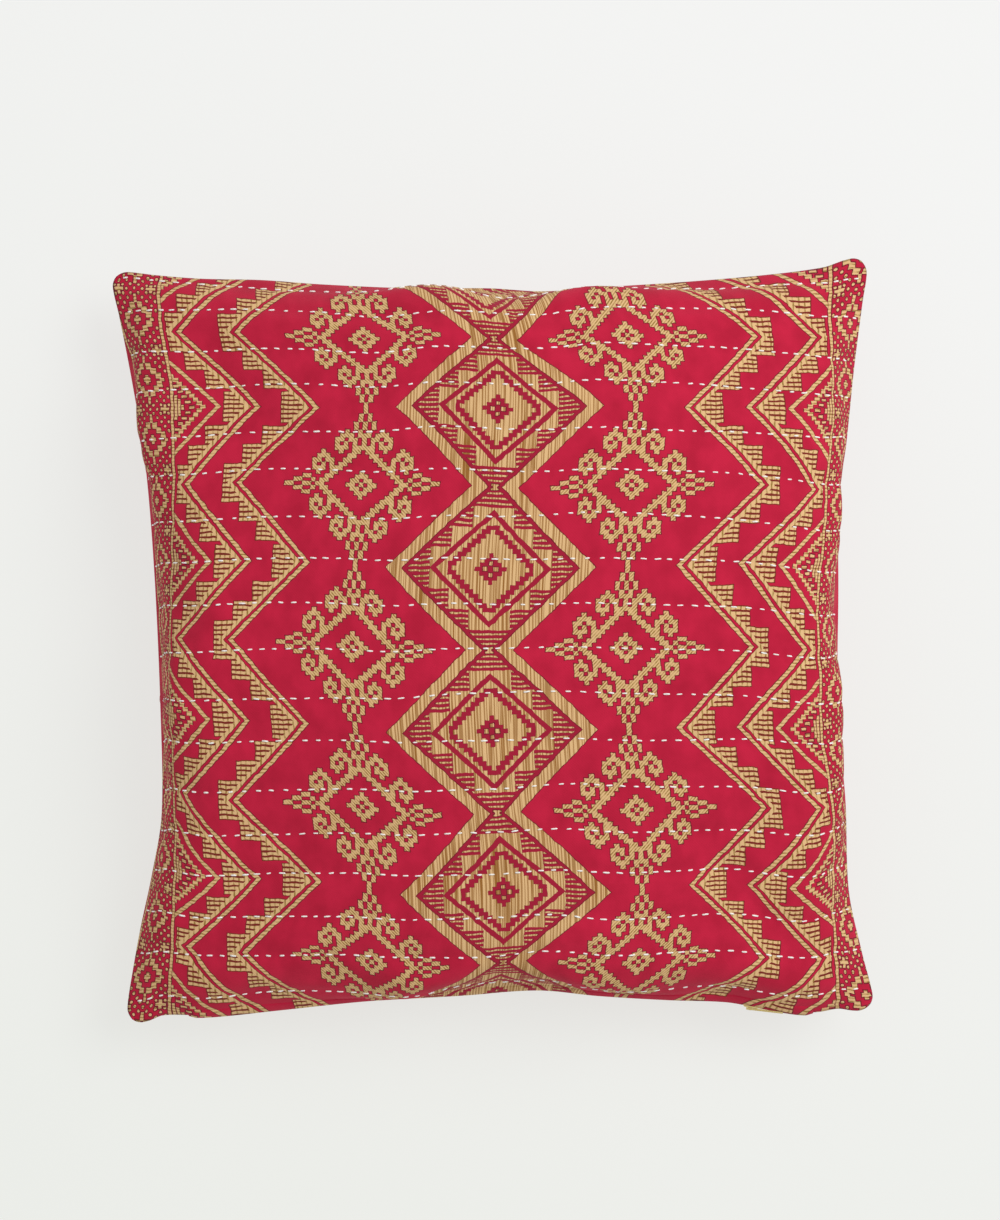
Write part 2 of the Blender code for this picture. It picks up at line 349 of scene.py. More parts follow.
# Border of small diamonds in a net of dots, between the vertical line and an outer one
borderSteps = """
fromBorder  OFF           across 86.5
ladder      SUBTRACT      y 4.4
ladderRow   PINGPONG      ladder 7.45
upBorder    MULTIPLY      ladderRow 0.94
lineOff     OFF           fromBorder 5.95
sideLines   SUBTRACT      0.33 lineOff
blobShare   SUBTRACT      fromBorder upBorder
blobPart    DIVIDE        blobShare 2.2
blobRound   ROUND         blobPart
blobMost    MINIMUM       blobRound 1
blobK       MAXIMUM       blobMost -1
blobX       MULTIPLY_ADD  blobK -1.1 fromBorder
blobY       MULTIPLY_ADD  blobK 1.1 upBorder
blobXOff    OFF           blobX 2.1
blobYOff    OFF           blobY 2.1
blobFar     MAXIMUM       blobXOff blobYOff
blob        SUBTRACT      0.68 blobFar
spikeTall   OFF           upBorder 4.8
spikeTallIn SUBTRACT      0.95 spikeTall
spikeThin   SUBTRACT      0.34 fromBorder
spikeUp     MINIMUM       spikeTallIn spikeThin
spikeLong   OFF           fromBorder 4.0
spikeLongIn SUBTRACT      0.5 spikeLong
spikeFlat   SUBTRACT      0.34 upBorder
spikeSide   MINIMUM       spikeLongIn spikeFlat
coreWide    SUBTRACT      0.95 fromBorder
coreFlat    SUBTRACT      0.42 upBorder
coreA       MINIMUM       coreWide coreFlat
coreThin    SUBTRACT      0.42 fromBorder
coreTall    SUBTRACT      1.05 upBorder
coreB       MINIMUM       coreThin coreTall
netP        ADD           fromBorder upBorder
netPHalf    MULTIPLY_ADD  netP 0.5 -0.5
netPRound   ROUND         netPHalf
netPAt      MULTIPLY_ADD  netPRound 2 1
netPOff     SUBTRACT      netP netPAt
netQHalf    MULTIPLY_ADD  blobShare 0.5 -0.5
netQRound   ROUND         netQHalf
netQAt      MULTIPLY_ADD  netQRound 2 1
netQOff     SUBTRACT      blobShare netQAt
netX        ADD           netPOff netQOff
netY        SUBTRACT      netPOff netQOff
netX2       MULTIPLY      netX netX
netY2       MULTIPLY      netY netY
netFar2     MULTIPLY_ADD  netX2 1.3 netY2
netFar      SQRT          netFar2
netDot      MULTIPLY_ADD  netFar -0.5 0.34
netFrom     SUBTRACT      netPAt 6.5
netTo       SUBTRACT      5.45 fromBorder
net         MINIMUM       netFrom netTo netDot
plusX       OFF           fromBorder 4
plusY       OFF           upBorder 7
plusXLong   SUBTRACT      1.1 plusX
plusYThin   SUBTRACT      0.34 plusY
plusA       MINIMUM       plusXLong plusYThin
plusXThin   SUBTRACT      0.34 plusX
plusYLong   SUBTRACT      1.1 plusY
plusB       MINIMUM       plusXThin plusYLong
border      MAXIMUM       sideLines blob spikeUp spikeSide coreA coreB net plusA plusB
"""

# Medallion, looked up in its chart: the own cell, and the next one in each direction, for outlines.
# A line of the chart is one number, with a bit for each cell, and a stop in a ramp of 20.
medallionSteps = """
medalOff    OFF           across 32.25
medalX      DIVIDE        medalOff 1.09
medalCol    ROUND         medalX
medalPart   SUBTRACT      medalX medalCol
medalSign   SIGN          medalPart
medalNext   ADD           medalCol medalSign
medalNear   ABSOLUTE      medalNext
medalRow    ROUND         row
rowPart     SUBTRACT      row medalRow
rowSign     SIGN          rowPart
rowNext     ADD           medalRow rowSign
rowNear     ABSOLUTE      rowNext
closeX      ABSOLUTE      medalPart
closeY      ABSOLUTE      rowPart
touchX      GREATER_THAN  closeX 0.3
touchY      GREATER_THAN  closeY 0.3
bitOwn      POWER         2 medalCol
bitNext     POWER         2 medalNear
lookOwn     MULTIPLY_ADD  medalRow 0.05 0.025
lookNext    MULTIPLY_ADD  rowNear 0.05 0.025
"""

chartSteps = """
{n}Number   MULTIPLY_ADD  {row} {most} 0.25
{n}Share    DIVIDE        {n}Number {bit}
{n}Floor    FLOOR         {n}Share
{n}         FLOORED_MODULO {n}Floor 2
"""

medallionEnd = """
edgeX       MULTIPLY      cellX touchX
edgeY       MULTIPLY      cellY touchY
edgeXY      MULTIPLY      touchX touchY
edgeD       MULTIPLY      cellD edgeXY
edgeMost    MAXIMUM       edgeX edgeY edgeD
edgeLess    MULTIPLY_ADD  edgeMost 0.9 -1
medalIn     SUBTRACT      17.6 medalX
medalField  MULTIPLY_ADD  cellOwn 1.5 edgeLess
medallion   MINIMUM       medalField medalIn
"""

togetherSteps = """
shapes      MAXIMUM       column aZigzag bZigzag side border medallion
shape       MINIMUM       shapes frontSide
gaps        MAXIMUM       aGap bGap
gap         MINIMUM       gaps frontSide
gold        GREATER_THAN  shape 0
edge        GREATER_THAN  shape -0.22
dark        GREATER_THAN  gap -0.15
"""


def addPrint(tree, values):
    perMap = printLayout["mapCells"]
    spread = {"x": f"u {perMap} {-perMap / 2}", "y": f"v {perMap} {-perMap / 2}"}
    uv = addNode(tree, "ShaderNodeUVMap", {"uv_map": "cloth"}, {}).outputs[0]
    values["map"] = uv
    wobble = addNode(tree, "ShaderNodeTexNoise", {}, {
        "Vector": uv, "Scale": perMap * printLayout["wobbleTurns"],
        "Detail": 1.0}).outputs["Color"]
    for source, names in ((uv, ("u", "v")), (wobble, ("shakeX", "shakeY"))):
        parts = addNode(tree, "ShaderNodeSeparateXYZ", {}, {0: source})
        for i, name in enumerate(names):
            values[name] = parts.outputs[i]
    size = printLayout["wobble"]
    addSteps(tree, values, f"""
        evenX   MULTIPLY_ADD {spread["x"]}
        evenY   MULTIPLY_ADD {spread["y"]}
        moveX   MULTIPLY_ADD shakeX {2 * size} {-size}
        moveY   MULTIPLY_ADD shakeY {2 * size} {-size}
        x       ADD evenX moveX
        y       ADD evenY moveY
    """)
    addSteps(tree, values, layoutSteps + columnSteps)
    for name, valley, slope, stop in (("a", 62.9, 0.974, 120), ("b", 76.6, 0.916, 79.3)):
        addSteps(tree, values, zigzagSteps.format(
            n=name, valley=valley, slope=slope, blockEnd=valley + 4.1, stop=stop))
    addSteps(tree, values, sideSteps + borderSteps + medallionSteps)
    most = 2 ** 19
    for name, look in (("rowOwn", "lookOwn"), ("rowNext", "lookNext")):
        chart = addNode(tree, "ShaderNodeValToRGB", {}, {0: values[look]})
        chart.color_ramp.interpolation = "CONSTANT"
        stops = chart.color_ramp.elements
        for i, cells in enumerate(medallionChart):
            stop = stops[0] if i == 0 else stops[1] if i == 1 else stops.new(i / 20)
            stop.position = i / 20
            number = sum(2 ** k for k, cell in enumerate(cells) if cell == "x") / most
            stop.color = (number, number, number, 1)
        red = addNode(tree, "ShaderNodeSeparateColor", {}, {0: chart.outputs["Color"]})
        values[name] = red.outputs[0]
    for name, row, bit in (("cellOwn", "rowOwn", "bitOwn"), ("cellX", "rowOwn", "bitNext"),
                           ("cellY", "rowNext", "bitOwn"), ("cellD", "rowNext", "bitNext")):
        addSteps(tree, values, chartSteps.format(n=name, row=row, bit=bit, most=most))
    addSteps(tree, values, medallionEnd + togetherSteps)


# Share of darker stroke in the gold: hatching in the medallions, 2 mm apart and slanting, upright
# streaks in the band, beads on the teeth and rungs on the lines
goldSteps = """
evenAcross  ABSOLUTE      evenX
slant       SUBTRACT      evenAcross evenY
slantTurns  DIVIDE        slant 0.82
slantPart   FRACT         slantTurns
hatch       LESS_THAN     slantPart 0.48
beadTurns   DIVIDE        across 1.25
beadPart    FRACT         beadTurns
bead        LESS_THAN     beadPart 0.3
rungTurns   DIVIDE        y 0.85
rungPart    FRACT         rungTurns
rung        LESS_THAN     rungPart 0.38
inMedal     GREATER_THAN  medallion 0
inColumn    LESS_THAN     across outerEdge
inGap       GREATER_THAN  gap 0
hatchAmt    SUBTRACT      hatch rung
strokeA     MULTIPLY_ADD  inMedal hatchAmt rung
beadAmt     SUBTRACT      bead strokeA
strokeB     MULTIPLY_ADD  inGap beadAmt strokeA
strokeInk   MULTIPLY      strokeB inkAmount
streakAmt   SUBTRACT      streak strokeInk
strokeSeen  MULTIPLY_ADD  inColumn streakAmt strokeInk
"""

# The weave. Real threads are 0.4 mm apart; these are 1.6 mm apart, coarse enough to show.
weaveSteps = """
warpTurns   MULTIPLY      evenX 9.3
weftTurns   MULTIPLY      evenY 9.1
warp        SINE          warpTurns
weft        SINE          weftTurns
weave       MULTIPLY      warp weft
weaveHigh   MULTIPLY_ADD  weave 0.35 slub
"""


cottonLook = {
    # name, turns in each cell, detail, stretch: streaks in the gold, patches in the red, thin ink,
    # and threads of uneven thickness
    "noises": (("streakNoise", 2.6, 0.0, (1, 0.012, 1)), ("streakBroad", 0.8, 1.0, (1, 0.02, 1)),
               ("mottle", 0.16, 4.0, (1, 0.8, 1)), ("ink", 0.7, 2.0, (1, 1, 1)),
               ("slub", 1.1, 2.0, (0.25, 1, 1))),
    "threadHeight": 0.00012, "threadStrength": 0.7,
    "surface": {"Roughness": 0.9, "Specular IOR Level": 0.12, "Sheen Weight": 0.04,
                "Sheen Roughness": 0.6},
}


def makePrintedCotton():
    material, tree, shader = newMaterial("printed cotton", cottonLook["surface"])
    values = {}
    addPrint(tree, values)
    perMap = printLayout["mapCells"]
    for name, scale, detail, stretch in cottonLook["noises"]:
        placed = addNode(tree, "ShaderNodeMapping", {}, {"Vector": values["map"], "Scale": stretch})
        values[name] = addNode(tree, "ShaderNodeTexNoise", {}, {
            "Vector": placed.outputs[0], "Scale": scale * perMap, "Detail": detail}).outputs["Fac"]
    addSteps(tree, values, """
        pinShift    MULTIPLY_ADD  streakBroad 1.8 evenX
        pinTurns    DIVIDE        pinShift 0.82
        pinPart     FRACT         pinTurns
        pin         LESS_THAN     pinPart 0.4
        streakFine  MULTIPLY      pin 0.75
        streakLong  MULTIPLY_ADD  streakNoise 6 -3.3
        streakMost  MAXIMUM       streakFine streakLong
        streakTop   MINIMUM       streakMost 1
        streak      MAXIMUM       streakTop 0
        inkFar      MULTIPLY_ADD  ink 3.2 -0.9
        inkTop      MINIMUM       inkFar 1
        inkAmount   MAXIMUM       inkTop 0.3
        mottleFar   MULTIPLY_ADD  mottle 3.0 -1.0
        mottleTop   MINIMUM       mottleFar 1
        mottleSeen  MAXIMUM       mottleTop 0
    """)
    addSteps(tree, values, goldSteps + weaveSteps)
    layers = [("mottleSeen", "groundLight"), ("inColumn", "columnRed"), ("edge", "outline"),
              ("dark", "toothGap")]
    stroke = mixColours(
        tree, values["inColumn"], printLayout["goldStroke"], printLayout["goldBrown"])
    gold = mixColours(tree, values["strokeSeen"], printLayout["goldLight"], stroke)
    colour = printLayout["groundDark"]
    for factor, top in layers:
        colour = mixColours(tree, values[factor], colour, printLayout[top])
    colour = mixColours(tree, values["gold"], colour, gold)
    bump = addNode(tree, "ShaderNodeBump", {}, {
        "Height": values["weaveHigh"], "Distance": cottonLook["threadHeight"],
        "Strength": cottonLook["threadStrength"]})
    tree.links.new(colour, shader.inputs["Base Color"])
    tree.links.new(bump.outputs[0], shader.inputs["Normal"])
    return material


# Cotton floss, loosely twisted: bright, matte, with the twist as slanting ridges whose grooves are
# painted a little darker and whose crests lighter, painted shade and highlight
flossLook = {
    "shade": "#EFEAE2", "light": "#FFFFFC",
    "twistScale": 260.0, "ridgeHeight": 0.0001,
    "surface": {"Roughness": 0.7, "Sheen Weight": 0.1},
}


def makeFloss():
    material, tree, shader = newMaterial("cotton floss", flossLook["surface"])
    place = addNode(tree, "ShaderNodeTexCoord", {}, {})
    twist = addNode(tree, "ShaderNodeTexWave", {"bands_direction": "DIAGONAL"}, {
        "Vector": place.outputs["Object"], "Scale": flossLook["twistScale"], "Distortion": 2.0,
        "Detail": 1.0})
    # painted shade and highlight: the twist's grooves take the darker colour, its crests the
    # lighter one
    colour = mixColours(tree, twist.outputs["Fac"], flossLook["shade"], flossLook["light"])
    bump = addNode(tree, "ShaderNodeBump", {}, {
        "Height": twist.outputs["Fac"], "Distance": flossLook["ridgeHeight"], "Strength": 0.5})
    tree.links.new(colour, shader.inputs["Base Color"])
    tree.links.new(bump.outputs[0], shader.inputs["Normal"])
    return material


# Die-cast brass, tumbled smooth: soft highlights, faint scuffs along its length
brassLook = {
    "shade": "#E2C06A", "light": "#F6E4A8",
    "scuffScale": 2600.0, "scuffDepth": 0.00002, "roughness": (0.16, 0.36),
    "surface": {"Metallic": 1.0},
}


def makeBrass():
    material, tree, shader = newMaterial("tumbled brass", brassLook["surface"])
    place = addNode(tree, "ShaderNodeTexCoord", {}, {})
    drawn = addNode(tree, "ShaderNodeMapping", {}, {
        "Vector": place.outputs["Object"], "Scale": (0.2, 1, 1)})
    scuffs = addNode(tree, "ShaderNodeTexNoise", {}, {
        "Vector": drawn.outputs[0], "Scale": brassLook["scuffScale"], "Detail": 3.0})
    colour = mixColours(tree, scuffs.outputs["Fac"], brassLook["shade"], brassLook["light"])
    rough = addNode(tree, "ShaderNodeMapRange", {}, {
        "Value": scuffs.outputs["Fac"], "To Min": brassLook["roughness"][0],
        "To Max": brassLook["roughness"][1]})
    bump = addNode(tree, "ShaderNodeBump", {}, {
        "Height": scuffs.outputs["Fac"], "Distance": brassLook["scuffDepth"], "Strength": 0.4})
    tree.links.new(colour, shader.inputs["Base Color"])
    tree.links.new(rough.outputs[0], shader.inputs["Roughness"])
    tree.links.new(bump.outputs[0], shader.inputs["Normal"])
    return material


# The pillow's cover: two flat panels sewn at their rims, blown up by cloth simulation, laid on
# the outline of the real one, then quilted

pillow = {
    "side": 0.457,  # flat cover, metres
    "seamHeight": 0.056,
    "cornerDroop": 0.008,
    "crown": 0.064,
    "corners": {
        "topLeft": (-0.2256, 0.2179), "topRight": (0.2212, 0.2271),
        "bottomLeft": (-0.2162, -0.2275), "bottomRight": (0.2261, -0.2191),
    },
    # share of the way along a side, distance drawn in; left and right run down
    "drawnIn": {
        "left": ((0.00, 0.0), (0.03, 0.0018), (0.06, 0.0048), (0.15, 0.0121), (0.25, 0.0187),
                 (0.40, 0.0230), (0.58, 0.0248), (0.72, 0.0242), (0.80, 0.0176), (0.87, 0.0101),
                 (0.94, 0.0036), (0.97, 0.0012), (1.00, 0.0)),
        "right": ((0.00, 0.0), (0.03, 0.0007), (0.06, 0.0031), (0.15, 0.0090), (0.25, 0.0143),
                  (0.32, 0.0190), (0.45, 0.0201), (0.60, 0.0212), (0.72, 0.0171), (0.84, 0.0154),
                  (0.92, 0.0080), (0.97, 0.0023), (1.00, 0.0)),
        "top": ((0.00, 0.0), (0.03, 0.0013), (0.06, 0.0033), (0.12, 0.0061), (0.20, 0.0078),
                (0.28, 0.0112), (0.40, 0.0147), (0.50, 0.0156), (0.57, 0.0180), (0.65, 0.0163),
                (0.75, 0.0143), (0.86, 0.0110), (0.94, 0.0069), (0.97, 0.0027), (1.00, 0.0)),
        "bottom": ((0.00, 0.0), (0.03, 0.0024), (0.05, 0.0056), (0.11, 0.0055), (0.20, 0.0090),
                   (0.32, 0.0137), (0.45, 0.0162), (0.55, 0.0184), (0.63, 0.0145), (0.72, 0.0112),
                   (0.80, 0.0091), (0.84, 0.0056), (0.87, 0.0025), (0.90, 0.0003), (0.925, 0.0004),
                   (0.95, 0.0019), (0.97, 0.0005), (1.00, 0.0)),
    },
    "middleShift": 0.0049,  # the print's middle lies this far towards the top
    "simCells": 54,
    "meshCells": 216,
    "simFrames": 50,
    "simQuality": 8,  # steps in each frame
    "gapAtStart": 0.006,  # from the middle plane to each flat panel
    "pressure": 2.15,
    "tension": 15.0,
    "bending": 0.1,
    "damping": 5.0,
    "bendingDamping": 0.5,
    "airDamping": 4.0,
    "vertexMass": 0.15, "massCells": 56,  # the mass of a vertex at so many cells to a side
    "foldReach": 0.045,
    "foldRounds": 6,
    "flatBlend": 0.004,  # how softly the back turns from flat to round
    "tipRound": 0.0115,
    "lumps": ((0.0012, (7, 7)), (0.0006, (16, 14))),  # height, and how many across and up
    "puckerHeight": 0.0011,
    "puckers": (34, 34),
    "puckerReach": 0.020,
    "rimStill": 0.004,  # lumps and channels fade out this close to the seam
    "fill": 0.85,
    "seed": 11,
}

# Rows of white running stitch on both panels. Each row's line gives, in mm, how far it wanders from
# its even place at nine places across the cloth, from the bottom row to the top one.
kantha = {
    "pitch": 0.0245,
    "rowAtMiddle": -0.012,
    "rowsBelow": 8,
    "wanderAt": (-0.2285, -0.17, -0.11, -0.055, 0.0, 0.05, 0.11, 0.17, 0.2285),
    "wander": [
        (-7.0, -3.5, -1.0, 0.5, -3.5, -1.0, -1.6, -3.5, -6.5),
        (-1.3, 1.1, 2.9, 6.8, 3.0, 6.4, 3.5, -1.6, -6.6),
        (0.2, -0.9, 1.1, 5.1, 0.7, 2.7, -0.5, -3.9, -6.6),
        (-0.4, 0.1, 0.9, 4.5, 0.4, 3.2, 1.0, -1.5, -4.8),
        (-1.5, -1.5, -0.9, 1.6, -1.5, 1.0, -0.7, -1.9, -3.1),
        (-1.7, -0.9, -0.4, 0.5, -2.6, 1.2, 0.0, -2.3, -3.4),
        (2.5, 3.2, 2.9, 2.8, -0.8, 1.5, 1.9, 1.5, 1.1),
        (3.4, 2.9, 1.8, 1.9, 0.3, 2.2, 2.5, 0.1, -1.4),
        (6.3, 6.2, 5.2, 2.7, -0.1, 2.4, 3.6, 2.2, 2.8),
        (11.1, 8.3, 6.4, 2.9, -0.6, 2.1, 3.7, 2.6, 0.8),
        (11.0, 9.2, 7.5, 3.3, 0.0, 2.1, 5.2, 3.7, 0.3),
        (11.4, 9.3, 6.8, 1.8, -1.3, 2.6, 5.1, 3.3, 1.1),
        (13.4, 11.6, 9.4, 3.1, -0.3, 2.2, 6.7, 6.4, 3.6),
        (10.4, 9.7, 7.2, 1.9, -0.5, 1.2, 5.9, 8.0, 8.5),
        (15.2, 13.7, 10.2, 1.6, -0.1, 3.0, 9.4, 9.9, 7.0),
        (16.2, 12.3, 6.6, -2.8, -3.8, 0.5, 7.2, 9.1, 3.4),
        (18.8, 14.6, 7.5, -5.4, -7.1, -2.5, 7.3, 9.4, 6.1),
        (17.0, 13.0, 6.0, -5.0, -6.5, -2.5, 7.0, 9.0, 6.5),
    ],
    "wave": 0.0005,
    "troughDepth": 0.0012,
    "troughWidth": 0.0042,
    "pinch": 0.25,  # how much deeper a channel is at its stitches
    "stitchPitch": 0.0076, "pitchRange": (0.86, 1.14),
    "stitchLength": 0.0036, "lengthRange": (0.72, 1.2),
    "threadWidth": 0.00105, "widthRange": (0.85, 1.1),
    "firstAt": (0.2, 0.8),
    "backLength": 0.6,  # share of the front's stitches
    "tilt": 0.06,
    "proud": 0.22,  # how far a thread's middle is above the cloth, for its width
    "fromRim": 0.004,
    "seed": 5,
}

lap = {
    "from": -0.180, "to": 0.190,  # across
    "thickness": 0.0009,
    # along the cloth from the front, over the seam and down the back: panel, mesh line, proud by
    "turns": ((0, 3, 0.0000), (0, 2, 0.0005), (0, 1, 0.0011), (0, 0, 0.0016), (1, 1, 0.0017),
              (1, 2, 0.0015), (1, 3, 0.0012), (1, 4, 0.0010)),
    "proudAtEnds": 0.35,
}


def splineWeights(cells, fineCells):
    # cubic B-spline from cells + 1 points to fineCells + 1 points, ends kept
    weights = np.zeros((fineCells + 1, cells + 4))
    for k in range(fineCells + 1):
        t = k * cells / fineCells
        i = min(int(t), cells - 1)
        f = t - i
        parts = ((1 - f) ** 3, 3 * f ** 3 - 6 * f ** 2 + 4,
                 -3 * f ** 3 + 3 * f ** 2 + 3 * f + 1, f ** 3)
        for j, part in enumerate(parts):
            weights[k, i + j] += part / 6
    folded = weights[:, 1:cells + 2].copy()
    folded[:, 0] += 2 * weights[:, 0]
    folded[:, 1] -= weights[:, 0]
    folded[:, cells] += 2 * weights[:, cells + 2]
    folded[:, cells - 1] -= weights[:, cells + 2]
    return folded


def refine(coarse, fineCells):
    ways = [splineWeights(size - 1, fineCells) for size in coarse.shape[:2]]
    return np.einsum("ai,bj,ij...->ab...", ways[0], ways[1], coarse)


def lumps(random, across, up):
    coarse = random.uniform(-1, 1, (across + 1, up + 1))
    return refine(coarse, pillow["meshCells"])


def throughTable(rows, shares):
    # smooth curve through a table's rows, with the slope of its neighbours at each
    at, value = np.array(rows).T
    slope = np.empty(len(at))
    slope[1:-1] = (value[2:] - value[:-2]) / (at[2:] - at[:-2])
    slope[0] = (value[1] - value[0]) / (at[1] - at[0])
    slope[-1] = (value[-1] - value[-2]) / (at[-1] - at[-2])
    i = np.clip(np.searchsorted(at, shares, side="right") - 1, 0, len(at) - 2)
    width = at[i + 1] - at[i]
    t = np.clip((shares - at[i]) / width, 0, 1)
    return ((1 + 2 * t) * (1 - t) ** 2 * value[i] + t * t * (3 - 2 * t) * value[i + 1]
            + t * (1 - t) ** 2 * width * slope[i] - t * t * (1 - t) * width * slope[i + 1])


def sidePoints(side, shares):
    names = {"left": ("topLeft", "bottomLeft"), "right": ("topRight", "bottomRight"),
             "top": ("topLeft", "topRight"), "bottom": ("bottomLeft", "bottomRight")}[side]
    start, end = (np.array(pillow["corners"][name]) for name in names)
    along = (end - start) / np.linalg.norm(end - start)
    inward = np.array((-along[1], along[0]))
    if inward @ (start + end) > 0:
        inward = -inward
    sag = throughTable(pillow["drawnIn"][side], shares)
    return start + shares[:, None] * (end - start) + sag[:, None] * inward


def coverMesh(cells):
    # two flat panels, a little apart in the middle and joined at their rims
    half = pillow["side"] / 2
    cover = bmesh.new()
    bmesh.ops.create_grid(cover, x_segments=cells, y_segments=cells, size=half)
    for vert in cover.verts:
        share = (1 - abs(vert.co.x / half) ** 8) * (1 - abs(vert.co.y / half) ** 8)
        vert.co.z = pillow["gapAtStart"] * max(share, 0)
    panel = cover.verts[:] + cover.edges[:] + cover.faces[:]
    copied = bmesh.ops.duplicate(cover, geom=panel)["geom"]
    for vert in (item for item in copied if isinstance(item, bmesh.types.BMVert)):
        vert.co.z *= -1
    faces = [item for item in copied if isinstance(item, bmesh.types.BMFace)]
    bmesh.ops.reverse_faces(cover, faces=faces)
    bmesh.ops.remove_doubles(cover, verts=cover.verts[:], dist=1e-6)
    return cover


def places(mesh):
    flat = np.zeros(len(mesh.vertices) * 3, np.float32)
    mesh.vertices.foreach_get("co", flat)
    return flat.reshape(-1, 3).astype(float)


def blowUp():
    # returns each panel's places as an array over the cloth, across first
    cells, half = pillow["simCells"], pillow["side"] / 2
    cover = coverMesh(cells)
    mesh = bpy.data.meshes.new("cover sewn flat")
    cover.to_mesh(mesh)
    cover.free()
    sewn = bpy.data.objects.new("cover sewn flat", mesh)
    scene.collection.objects.link(sewn)
    start = places(mesh)
    column = np.rint((start[:, 0] / half + 1) / 2 * cells).astype(int)
    line = np.rint((start[:, 1] / half + 1) / 2 * cells).astype(int)
    cloth = sewn.modifiers.new("filling", "CLOTH")
    cloth.collision_settings.use_collision = False
    cloth.point_cache.frame_start, cloth.point_cache.frame_end = 1, pillow["simFrames"]
    cotton = cloth.settings
    cotton.quality = pillow["simQuality"]
    cotton.mass = pillow["vertexMass"] * (pillow["massCells"] / cells) ** 2
    cotton.tension_stiffness = cotton.compression_stiffness = pillow["tension"]
    cotton.shear_stiffness = pillow["tension"]
    cotton.bending_stiffness = pillow["bending"]
    cotton.tension_damping = cotton.compression_damping = pillow["damping"]
    cotton.shear_damping = pillow["damping"]
    cotton.bending_damping = pillow["bendingDamping"]
    cotton.air_damping = pillow["airDamping"]
    cotton.use_pressure = True
    cotton.uniform_pressure_force = pillow["pressure"]
    cotton.effector_weights.gravity = 0
    scene.frame_start, scene.frame_end = 1, pillow["simFrames"]
    for step in range(1, pillow["simFrames"] + 1):
        scene.frame_set(step)
    shaped = sewn.evaluated_get(bpy.context.evaluated_depsgraph_get()).to_mesh()
    blown = places(shaped)
    panels = []
    for side in (1, -1):
        panel = np.zeros((cells + 1, cells + 1, 3))
        here = start[:, 2] * side > -1e-7
        panel[column[here], line[here]] = blown[here]
        panels.append(panel)
    bpy.data.objects.remove(sewn)
    scene.frame_set(1)
    print("cover blown up, crown", round(float(blown[:, 2].max()) * 1000, 1), "mm")
    return [evenFolds(panel) for panel in panels]


def evenFolds(panel):
    # simulated folds along the seam are larger than the real cover's, so they are evened out
    cells = pillow["simCells"]
    fromSeam = (cells / 2 - abs(np.arange(cells + 1) - cells / 2)) * pillow["side"] / cells
    share = np.exp(-(fromSeam / pillow["foldReach"]) ** 2)[None, :, None]
    for turn in range(2):
        panel = panel.swapaxes(0, 1)
        evened = panel.copy()
        for step in range(pillow["foldRounds"]):
            evened[1:-1] = (evened[:-2] + 2 * evened[1:-1] + evened[2:]) / 4
        panel = panel + share * (evened - panel)
    return panel


def onOutline(panel):
    # moves a blown panel over the real pillow's outline, and lifts it to the seam's height
    cells = pillow["meshCells"]
    panel = refine(panel, cells)
    share = np.linspace(0, 1, cells + 1)
    rims = {"left": panel[0, :, :2], "right": panel[-1, :, :2],
            "bottom": panel[:, 0, :2], "top": panel[:, -1, :2]}
    moves = {}
    for side, rim in rims.items():
        axis = 1 if side in ("left", "right") else 0
        along = (rim[:, axis] - rim[0, axis]) / (rim[-1, axis] - rim[0, axis])
        moves[side] = sidePoints(side, 1 - along if axis else along) - rim
    s, t = share[:, None, None], share[None, :, None]
    shift = ((1 - t) * moves["bottom"][:, None] + t * moves["top"][:, None]
             + (1 - s) * moves["left"][None] + s * moves["right"][None]
             - (1 - s) * (1 - t) * moves["left"][0] - s * (1 - t) * moves["right"][0]
             - (1 - s) * t * moves["left"][-1] - s * t * moves["right"][-1])
    u, v = 2 * share[:, None] - 1, 2 * share[None, :] - 1
    panel[..., :2] += shift
    panel[..., 1] += pillow["middleShift"] * (1 - u ** 2) * (1 - v ** 2)
    # round tips: the square at each corner becomes a quarter disc
    reach, half = pillow["tipRound"], pillow["side"] / 2
    nearU, nearV = (np.clip(1 - (1 - abs(part)) * half / reach, 0, 1) for part in (u, v))
    panel[..., 0] -= np.sign(u) * reach * nearU * (1 - np.sqrt(1 - nearV ** 2 / 2))
    panel[..., 1] -= np.sign(v) * reach * nearV * (1 - np.sqrt(1 - nearU ** 2 / 2))
    panel[..., 2] *= pillow["crown"] / abs(panel[..., 2]).max()
    panel[..., 2] += pillow["seamHeight"] - pillow["cornerDroop"] * abs(u * v) ** 3
    return panel


def normalsOf(panel):
    across, up = np.gradient(panel, axis=0), np.gradient(panel, axis=1)
    normal = np.cross(across, up)
    return normal / np.linalg.norm(normal, axis=2, keepdims=True)


def rowLines():
    # height of each kantha row on the flat cloth, at the mesh's columns
    random = np.random.default_rng(kantha["seed"])
    x = np.linspace(-0.5, 0.5, pillow["meshCells"] + 1) * pillow["side"]
    lines = []
    for k, wander in enumerate(kantha["wander"]):
        wave = splineWeights(9, pillow["meshCells"]) @ random.uniform(-1, 1, 10)
        bent = throughTable(list(zip(kantha["wanderAt"], wander)), x) / 1000
        even = kantha["rowAtMiddle"] + (k - kantha["rowsBelow"]) * kantha["pitch"]
        lines.append(even + bent + kantha["wave"] * wave)
    return lines


